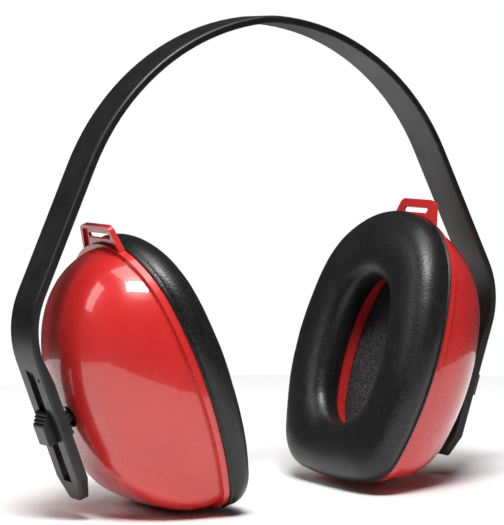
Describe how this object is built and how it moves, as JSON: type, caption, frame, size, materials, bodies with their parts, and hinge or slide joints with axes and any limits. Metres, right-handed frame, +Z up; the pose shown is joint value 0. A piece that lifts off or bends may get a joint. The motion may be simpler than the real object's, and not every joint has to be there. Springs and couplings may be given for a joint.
{
  "type": "earmuff hearing protector",
  "caption": "Over-head earmuff: sprung band, two domed cups on sliding ball pivots, soft sealing cushions and a strap tab on each cup.",
  "frame": {"origin": "centre of the bottom of the object, at the foot of its lower cup", "axes": "X across the head, right cup at +X; Y front to back; +Z up to the crown of the band"},
  "size_m": [0.2166, 0.087, 0.1906],
  "materials": {
    "black_plastic": "moulded, fine satin texture",
    "red_shell": "moulded, high gloss",
    "cushion_vinyl": "soft vinyl skin, satin",
    "soft_foam": "open-cell foam, hidden",
    "liner_foam": "open-cell foam",
    "pivot_plastic": "smooth bearing plastic",
    "slider_plastic": "moulded, satin"
  },
  "bodies": {
    "headband": {"headband": "black_plastic"},
    "left_slider": {"left_slider_block": "slider_plastic", "left_slider_cap": "slider_plastic"},
    "left_stud": {"left_ball_stud": "pivot_plastic"},
    "left_socket": {"left_ball_socket": "pivot_plastic"},
    "left_cup": {"left_cup_shell": "red_shell", "left_seat_plate": "red_shell", "left_cushion_cover": "cushion_vinyl", "left_cushion_foam": "soft_foam", "left_cushion_frame": "black_plastic", "left_acoustic_liner": "liner_foam"},
    "right_slider": {"right_slider_block": "slider_plastic", "right_slider_cap": "slider_plastic"},
    "right_stud": {"right_ball_stud": "pivot_plastic"},
    "right_socket": {"right_ball_socket": "pivot_plastic"},
    "right_cup": {"right_cup_shell": "red_shell", "right_seat_plate": "red_shell", "right_cushion_cover": "cushion_vinyl", "right_cushion_foam": "soft_foam", "right_cushion_frame": "black_plastic", "right_acoustic_liner": "liner_foam"}
  },
  "joints": [
    {"name": "left_height_slide", "type": "slide", "parent": "headband", "child": "left_slider", "axis": [0.3338, 0, -0.9426], "range_m": [-0.01, 0.017]},
    {"name": "left_cup_turn", "type": "hinge", "parent": "left_slider", "child": "left_stud", "pos_m": [-0.08327, 0, 0.04122], "axis": [-0.9426, 0, -0.3338], "range_deg": [-90, 90]},
    {"name": "left_cup_tilt", "type": "hinge", "parent": "left_stud", "child": "left_socket", "pos_m": [-0.08327, 0, 0.04122], "axis": [0, -1, 0], "range_deg": [-10, 6]},
    {"name": "left_cup_toe", "type": "hinge", "parent": "left_socket", "child": "left_cup", "pos_m": [-0.08327, 0, 0.04122], "axis": [-0.3338, 0, 0.9426], "range_deg": [-8, 8]},
    {"name": "right_height_slide", "type": "slide", "parent": "headband", "child": "right_slider", "axis": [-0.3338, 0, -0.9426], "range_m": [-0.0075, 0.0195]},
    {"name": "right_cup_turn", "type": "hinge", "parent": "right_slider", "child": "right_stud", "pos_m": [0.0841, 0, 0.04358], "axis": [0.9426, 0, -0.3338], "range_deg": [-90, 90]},
    {"name": "right_cup_tilt", "type": "hinge", "parent": "right_stud", "child": "right_socket", "pos_m": [0.0841, 0, 0.04358], "axis": [0, 1, 0], "range_deg": [-10, 6]},
    {"name": "right_cup_toe", "type": "hinge", "parent": "right_socket", "child": "right_cup", "pos_m": [0.0841, 0, 0.04358], "axis": [0.3338, 0, 0.9426], "range_deg": [-8, 8]}
  ]
}
